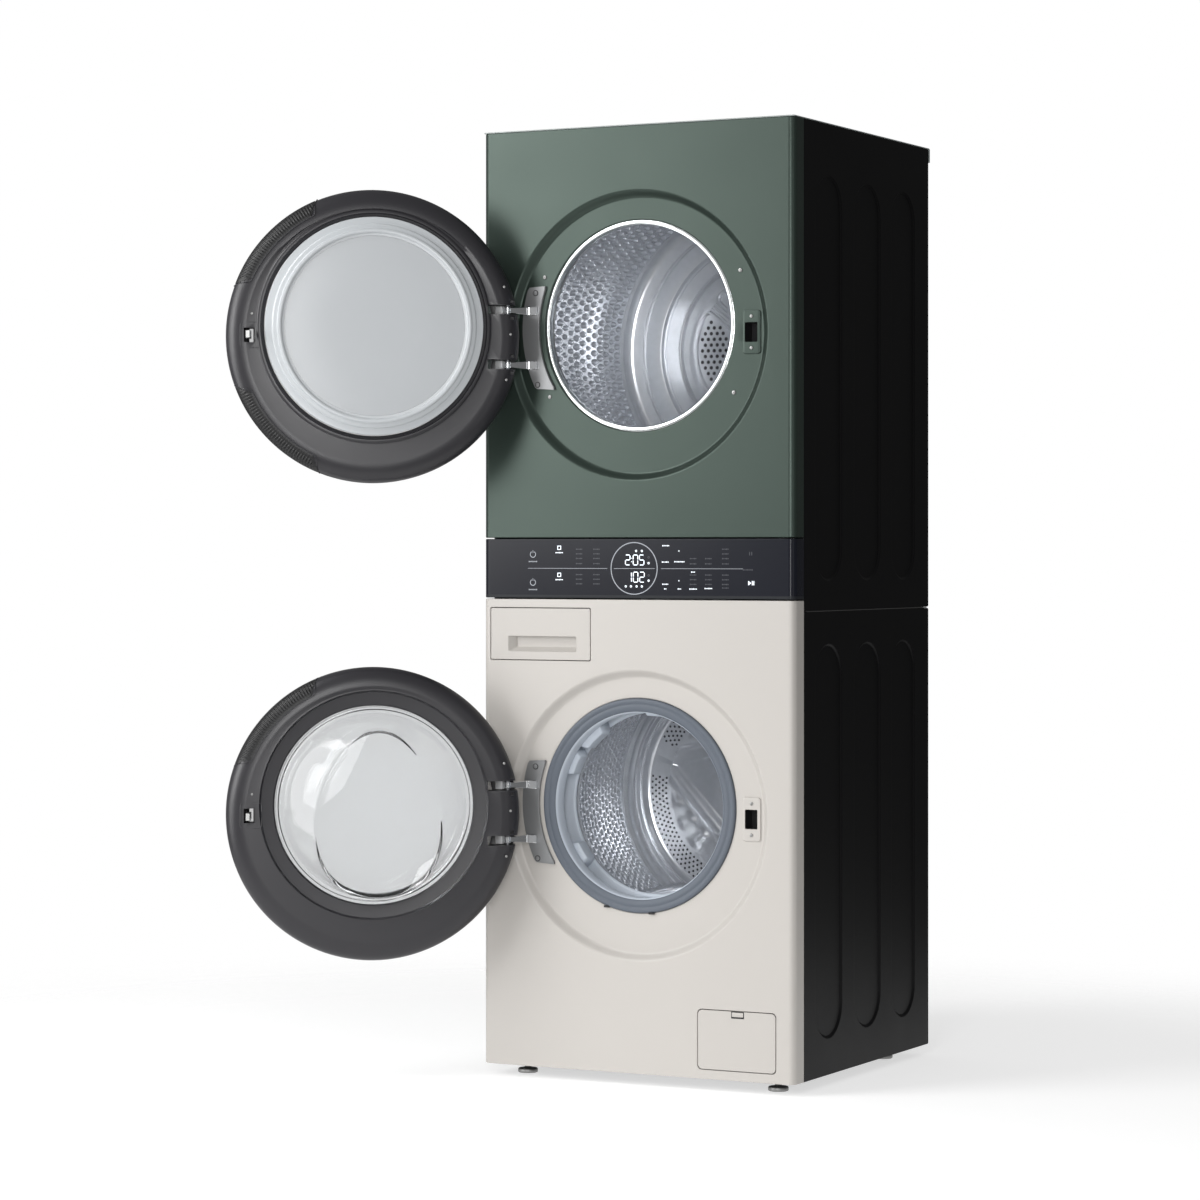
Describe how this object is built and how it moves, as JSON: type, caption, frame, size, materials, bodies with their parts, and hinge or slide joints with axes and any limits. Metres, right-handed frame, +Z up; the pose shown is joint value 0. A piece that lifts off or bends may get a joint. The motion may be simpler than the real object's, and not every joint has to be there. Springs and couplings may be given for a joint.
{
  "type": "stacked washer and dryer",
  "caption": "Tall stacked laundry appliance: front-loading washer below, dryer above, a shared touch control band between them, round doors on left-hand hinges.",
  "frame": {"origin": "on the floor, under the middle of the front panels' outer face", "axes": "+Z up, -Y out of the front towards the user, +X to the user's right"},
  "size_m": [0.9445, 0.9361, 1.655],
  "materials": {
    "green_paint": "satin enamel",
    "beige_paint": "satin enamel",
    "black_paint": "fine textured enamel",
    "panel_gloss": "gloss",
    "beige_plastic": "satin",
    "zinc_steel": "zinc plated",
    "grey_plastic": "moulded",
    "black_plastic": "moulded",
    "chrome": "polished",
    "gasket_rubber": "moulded",
    "belt_rubber": "ribbed",
    "motor_iron": "painted",
    "bare_aluminium": "mill",
    "drum_steel": "bright rolled",
    "shaft_steel": "turned",
    "charcoal_plastic": "satin",
    "bowl_glass": "clear",
    "pale_plastic": "satin"
  },
  "bodies": {
    "cabinet": {"base_frame": "zinc_steel", "lower_left_side_panel": "black_paint", "lower_right_side_panel": "black_paint", "upper_left_side_panel": "black_paint", "upper_right_side_panel": "black_paint", "lower_rear_panel": "black_paint", "upper_rear_panel": "black_paint", "top_cover": "black_paint", "washer_front_panel": "beige_paint", "dryer_front_panel": "green_paint", "control_panel": "panel_gloss", "divider_deck": "zinc_steel", "dispenser_housing": "grey_plastic", "washer_door_lock": "black_plastic", "dryer_door_lock": "black_plastic", "washer_hinge_plate": "zinc_steel", "dryer_hinge_plate": "zinc_steel", "washer_upper_hinge_arm": "chrome", "washer_lower_hinge_arm": "chrome", "dryer_upper_hinge_arm": "chrome", "dryer_lower_hinge_arm": "chrome", "door_gasket": "gasket_rubber", "washer_tub": "grey_plastic", "washer_stator": "bare_aluminium", "left_tub_damper": "motor_iron", "right_tub_damper": "motor_iron", "drain_pump": "grey_plastic", "dryer_opening_ring": "chrome", "dryer_front_bulkhead": "grey_plastic", "dryer_rear_duct": "zinc_steel", "drive_belt": "belt_rubber", "dryer_motor": "motor_iron", "heat_pump_compressor": "motor_iron", "heat_exchanger": "bare_aluminium"},
    "washer_drum": {"washer_drum": "drum_steel", "washer_drum_shaft": "shaft_steel", "washer_rotor": "motor_iron"},
    "dryer_drum": {"dryer_drum": "drum_steel"},
    "dryer_motor_shaft": {"dryer_motor_shaft": "shaft_steel", "blower_fan": "grey_plastic"},
    "left_drum_roller": {"left_drum_roller": "belt_rubber"},
    "right_drum_roller": {"right_drum_roller": "belt_rubber"},
    "lint_filter": {"lint_filter": "charcoal_plastic"},
    "detergent_drawer": {"detergent_drawer": "beige_plastic"},
    "service_cover": {"service_cover": "beige_plastic"},
    "pump_filter_cap": {"pump_filter_cap": "pale_plastic"},
    "front_left_foot": {"front_left_foot": "zinc_steel"},
    "front_right_foot": {"front_right_foot": "zinc_steel"},
    "rear_left_foot": {"rear_left_foot": "zinc_steel"},
    "rear_right_foot": {"rear_right_foot": "zinc_steel"},
    "washer_door": {"washer_door_frame": "charcoal_plastic", "washer_door_cover": "charcoal_plastic", "washer_door_glass": "bowl_glass", "washer_door_hinge_pin": "shaft_steel"},
    "washer_door_hook": {"washer_door_hook": "chrome"},
    "dryer_door": {"dryer_door_frame": "charcoal_plastic", "dryer_door_cover": "charcoal_plastic", "dryer_door_glass": "pale_plastic", "dryer_door_hinge_pin": "shaft_steel"},
    "dryer_door_hook": {"dryer_door_hook": "chrome"}
  },
  "joints": [
    {"name": "washer_door_swing", "type": "hinge", "parent": "cabinet", "child": "washer_door", "pos_m": [-0.2345, -0.0309, 0.4645], "axis": [0, 0, 1], "range_deg": [-10, 144.9]},
    {"name": "dryer_door_swing", "type": "hinge", "parent": "cabinet", "child": "dryer_door", "pos_m": [-0.2345, -0.0309, 1.2916], "axis": [0, 0, 1], "range_deg": [-10, 144.9]},
    {"name": "washer_hook_spring", "type": "hinge", "parent": "washer_door", "child": "washer_door_hook", "pos_m": [-0.59336, -0.30377, 0.4645], "axis": [0, 0, 1], "range_deg": [0, 8], "stiffness_Nm_per_rad": 1.2},
    {"name": "dryer_hook_spring", "type": "hinge", "parent": "dryer_door", "child": "dryer_door_hook", "pos_m": [-0.59336, -0.30377, 1.2916], "axis": [0, 0, 1], "range_deg": [0, 8], "stiffness_Nm_per_rad": 1.2},
    {"name": "washer_drum_spin", "type": "hinge", "parent": "cabinet", "child": "washer_drum", "pos_m": [0, 0.28, 0.4809], "axis": [0, 1, 0], "continuous": true},
    {"name": "dryer_drum_spin", "type": "hinge", "parent": "cabinet", "child": "dryer_drum", "pos_m": [0, 0.28, 1.2916], "axis": [0, 1, 0], "continuous": true},
    {"name": "motor_spin", "type": "hinge", "parent": "cabinet", "child": "dryer_motor_shaft", "pos_m": [-0.19, 0.33, 0.922], "axis": [0, 1, 0], "continuous": true},
    {"name": "left_roller_spin", "type": "hinge", "parent": "cabinet", "child": "left_drum_roller", "pos_m": [-0.1831, 0.476, 1.05725], "axis": [0, 1, 0], "continuous": true},
    {"name": "right_roller_spin", "type": "hinge", "parent": "cabinet", "child": "right_drum_roller", "pos_m": [0.1831, 0.476, 1.05725], "axis": [0, 1, 0], "continuous": true},
    {"name": "lint_filter_lift", "type": "slide", "parent": "cabinet", "child": "lint_filter", "axis": [0, 0, 1], "range_m": [0, 0.12]},
    {"name": "drawer_pull", "type": "slide", "parent": "cabinet", "child": "detergent_drawer", "axis": [0, -1, 0], "range_m": [0, 0.2]},
    {"name": "service_cover_tilt", "type": "hinge", "parent": "cabinet", "child": "service_cover", "pos_m": [0.19175, 0.0005, 0.0375], "axis": [1, 0, 0], "range_deg": [0, 90]},
    {"name": "pump_cap_turn", "type": "hinge", "parent": "cabinet", "child": "pump_filter_cap", "pos_m": [0.19, 0.026, 0.086], "axis": [0, -1, 0], "range_deg": [0, 270]},
    {"name": "front_left_foot_height", "type": "slide", "parent": "cabinet", "child": "front_left_foot", "axis": [0, 0, -1], "range_m": [0, 0.012]},
    {"name": "front_right_foot_height", "type": "slide", "parent": "cabinet", "child": "front_right_foot", "axis": [0, 0, -1], "range_m": [0, 0.012]},
    {"name": "rear_left_foot_height", "type": "slide", "parent": "cabinet", "child": "rear_left_foot", "axis": [0, 0, -1], "range_m": [0, 0.012]},
    {"name": "rear_right_foot_height", "type": "slide", "parent": "cabinet", "child": "rear_right_foot", "axis": [0, 0, -1], "range_m": [0, 0.012]}
  ],
  "couplings": [
    {"joint": "motor_spin", "follows": "dryer_drum_spin", "ratio": 17},
    {"joint": "left_roller_spin", "follows": "dryer_drum_spin", "ratio": -10.88},
    {"joint": "right_roller_spin", "follows": "dryer_drum_spin", "ratio": -10.88}
  ]
}
